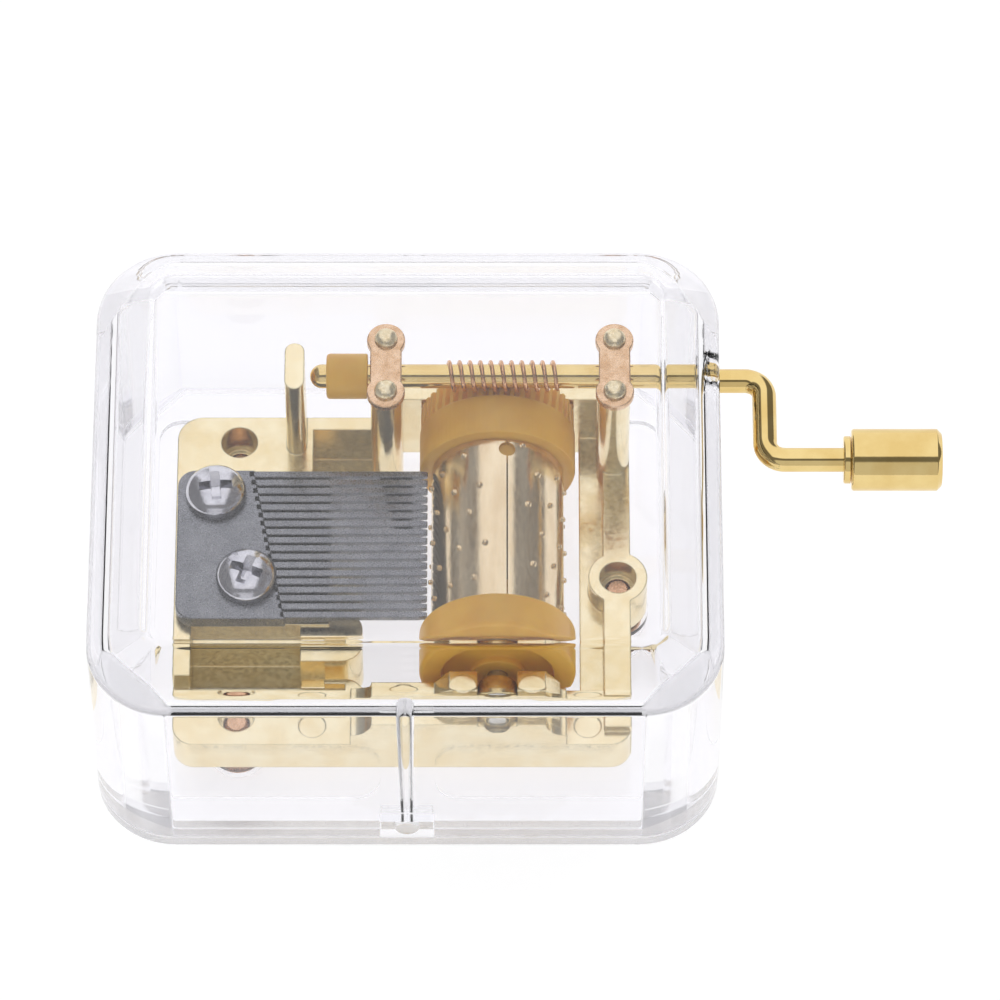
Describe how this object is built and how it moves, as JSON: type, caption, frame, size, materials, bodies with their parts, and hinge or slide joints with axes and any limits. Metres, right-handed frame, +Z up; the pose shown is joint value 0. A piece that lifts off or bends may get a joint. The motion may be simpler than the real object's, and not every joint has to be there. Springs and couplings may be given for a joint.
{
  "type": "hand-crank music box",
  "caption": "Hand-cranked comb-and-cylinder music box movement on a plated bedplate inside a clear bevelled acrylic case, with an offset crank and turning knob.",
  "frame": {"origin": "centre of the clear case's underside, on the surface it stands on", "axes": "+X out along the crank shaft, +Y to the back of the case, +Z up"},
  "size_m": [0.0813, 0.052, 0.0288],
  "materials": {
    "clear_acrylic": "clear, polished",
    "plated_bed": "pale gold plated die casting, satin",
    "comb_steel": "dark satin spring steel",
    "screw_steel": "bright zinc plated",
    "lead": "dull grey lead",
    "damper_film": "thin clear film",
    "sleeve_plate": "champagne plated rolled sheet",
    "amber_plastic": "translucent amber moulding",
    "arbor_steel": "bright drawn steel",
    "bush_brass": "turned brass",
    "gold_plate": "polished gold plate on steel",
    "copper_wire": "bright copper coloured wire",
    "rose_strap": "rose copper sheet, satin",
    "rivet_metal": "peened pale gold",
    "foot_screw_metal": "copper coloured plated steel"
  },
  "bodies": {
    "root": {"case_shell": "clear_acrylic", "base_plate": "clear_acrylic", "base_screws": "foot_screw_metal", "bedplate": "plated_bed", "comb": "comb_steel", "comb_screws": "screw_steel", "comb_weights": "lead", "comb_dampers": "damper_film", "front_bush": "bush_brass", "rear_bush": "bush_brass", "left_bearing_strap": "rose_strap", "right_bearing_strap": "rose_strap", "strap_rivets": "rivet_metal"},
    "crank": {"crank_shaft": "gold_plate", "worm_coil": "copper_wire", "shaft_collar": "amber_plastic", "knob_collar": "gold_plate", "knob_rivet": "gold_plate"},
    "drum": {"cylinder_sleeve": "sleeve_plate", "worm_wheel": "amber_plastic", "cylinder_end_cap": "amber_plastic", "cylinder_arbor": "arbor_steel"},
    "knob": {"crank_knob": "gold_plate"}
  },
  "joints": [
    {"name": "crank_spin", "type": "hinge", "parent": "root", "child": "crank", "pos_m": [0.03, 0.0142, 0.02], "axis": [1, 0, 0], "continuous": true},
    {"name": "drum_spin", "type": "hinge", "parent": "root", "child": "drum", "pos_m": [0.00865, 0, 0.01128], "axis": [0, 1, 0], "continuous": true},
    {"name": "knob_spin", "type": "hinge", "parent": "crank", "child": "knob", "pos_m": [0.047, 0.0052, 0.02], "axis": [1, 0, 0], "continuous": true}
  ],
  "couplings": [
    {"joint": "drum_spin", "follows": "crank_spin", "ratio": -0.022222}
  ]
}
